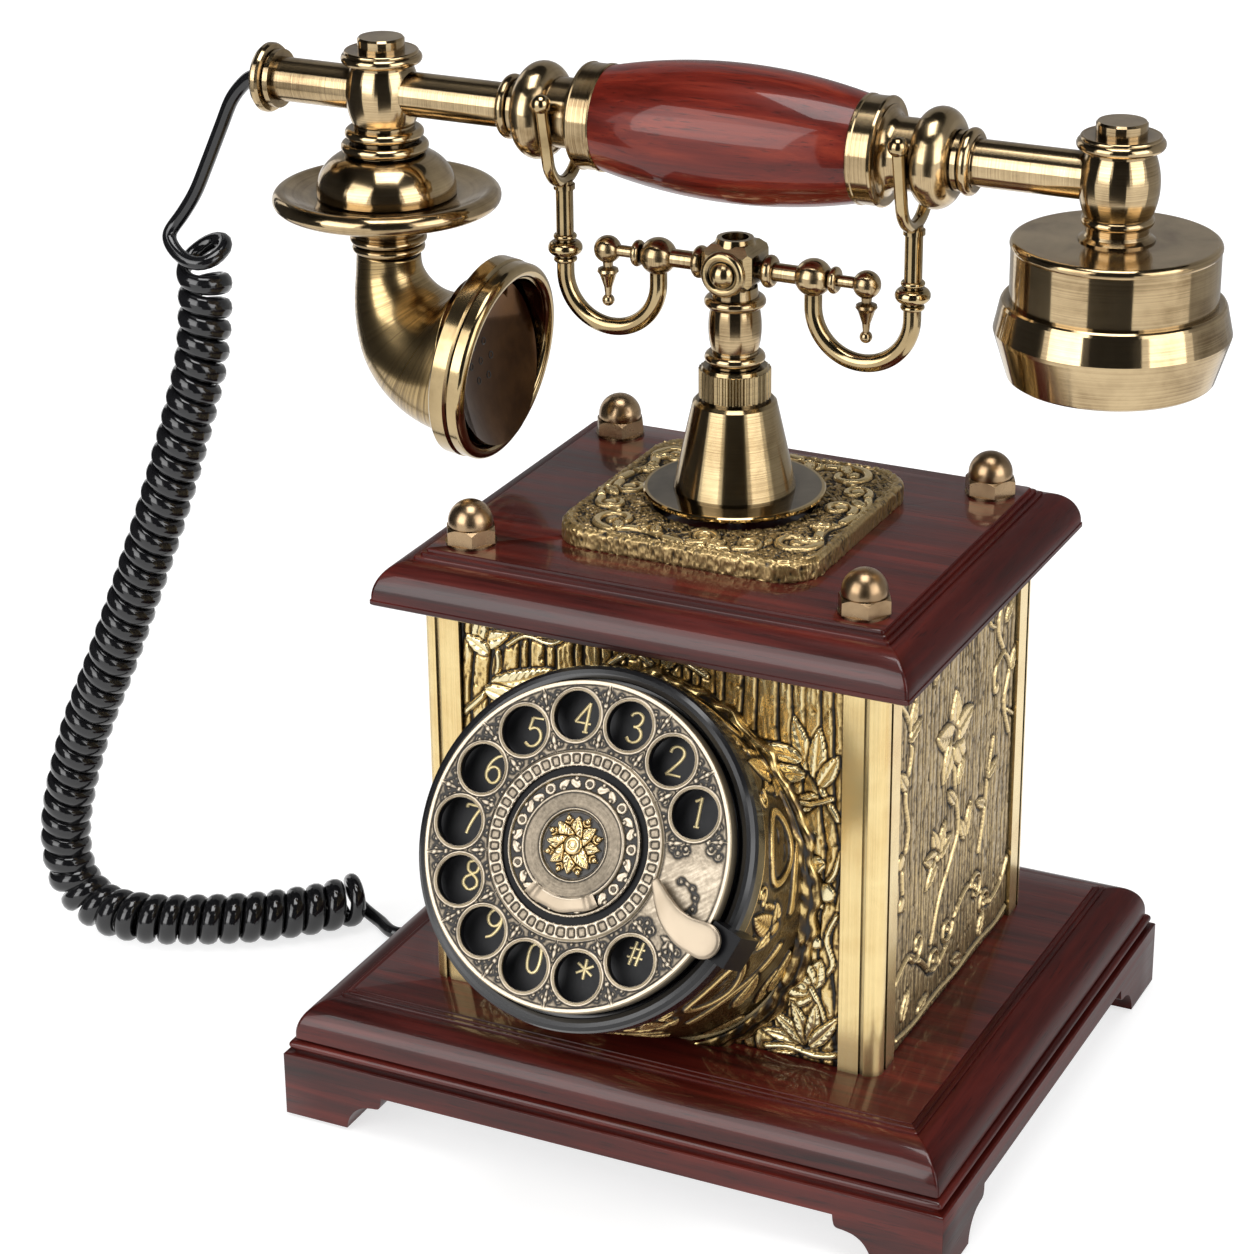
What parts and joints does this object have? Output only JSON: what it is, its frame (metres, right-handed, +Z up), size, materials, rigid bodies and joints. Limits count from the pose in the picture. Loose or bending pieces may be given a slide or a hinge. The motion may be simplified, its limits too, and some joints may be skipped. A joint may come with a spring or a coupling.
{
  "type": "rotary telephone",
  "caption": "Period desk telephone with a wooden plinth, brass-panelled case, raked rotary dial, and a horizontal handset with horn mouthpiece resting in a forked stand.",
  "frame": {"origin": "centre of the plinth's footprint, on the surface that the telephone stands on", "axes": "+Z up, -Y towards the user, out of the dial's side; +X towards the earpiece"},
  "size_m": [0.3838, 0.22, 0.3106],
  "materials": {
    "mahogany": "high gloss lacquer",
    "grip_wood": "high gloss lacquer",
    "antique_brass": "antiqued, dark in the hollows",
    "bright_brass": "satin, lacquered",
    "dark_bronze": "dark patina",
    "pewter": "antique pewter plate",
    "pale_metal": "satin",
    "steel": "plain",
    "black_enamel": "satin black",
    "black_plastic": "matt",
    "cord_plastic": "smooth",
    "felt": "matt",
    "board": "circuit board"
  },
  "bodies": {
    "base": {"foot_pads": "felt", "plinth_frame": "mahogany", "plinth_deck": "mahogany", "bottom_cover": "steel", "cover_screws": "steel", "ballast_weight": "steel", "body_core": "mahogany", "corner_posts": "bright_brass", "front_panel": "antique_brass", "rear_panel": "antique_brass", "left_panel": "antique_brass", "right_panel": "antique_brass", "top_board": "mahogany", "tie_rods": "steel", "acorn_nuts": "dark_bronze", "ornate_plate": "antique_brass", "stand_flange": "dark_bronze", "stand_cone": "bright_brass", "knurled_collar": "antique_brass", "hook_spring": "steel", "hook_switch": "steel", "circuit_board": "board", "ringer_unit": "steel", "line_jack": "black_plastic", "cord_grommet": "black_plastic", "dial_housing": "antique_brass", "dial_bezel": "black_enamel", "number_plate": "black_enamel", "dial_frame": "steel", "dial_bush": "antique_brass", "spring_barrel": "antique_brass", "stop_bracket": "black_enamel", "cord_curl": "cord_plastic", "cord_bottom_lead": "cord_plastic"},
    "dial_rotor": {"finger_wheel": "pewter", "dial_medallion": "pewter", "dial_spindle": "steel", "pulse_cam": "antique_brass"},
    "finger_stop": {"finger_stop": "pale_metal"},
    "cradle": {"plunger_rod": "steel", "cradle_column": "antique_brass", "tee_head": "dark_bronze", "cross_arm": "antique_brass", "hook_left": "antique_brass", "hook_right": "antique_brass"},
    "handset": {"grip": "grip_wood", "grip_ferrules": "antique_brass", "turned_sockets": "antique_brass", "handset_tube": "antique_brass", "cord_flange": "antique_brass", "mic_barrel": "antique_brass", "mic_saucer": "antique_brass", "mic_elbow": "bright_brass", "mouth_ring": "bright_brass", "mic_capsule": "dark_bronze", "ear_barrel": "antique_brass", "receiver_shell": "bright_brass", "receiver_ring": "bright_brass", "receiver_capsule": "dark_bronze", "cord_top_lead": "cord_plastic"}
  },
  "joints": [
    {"name": "dial_spin", "type": "hinge", "parent": "base", "child": "dial_rotor", "pos_m": [0, -0.10461, 0.1191], "axis": [0, -0.866, 0.5], "range_deg": [-308, 0], "stiffness_Nm_per_rad": 0.01, "springref_deg": 85.94},
    {"name": "stop_press", "type": "slide", "parent": "base", "child": "finger_stop", "axis": [0, 0.866, -0.5], "range_m": [0, 0.0012], "stiffness_N_per_m": 400, "springref_m": -0.002},
    {"name": "handset_lift", "type": "slide", "parent": "base", "child": "handset", "axis": [0, 0, 1], "range_m": [0, 0.11]},
    {"name": "cradle_rise", "type": "slide", "parent": "base", "child": "cradle", "axis": [0, 0, 1], "range_m": [0, 0.005], "deforming": ["hook_spring"]}
  ],
  "couplings": [
    {"joint": "cradle_rise", "follows": "handset_lift", "ratio": 0.045}
  ]
}
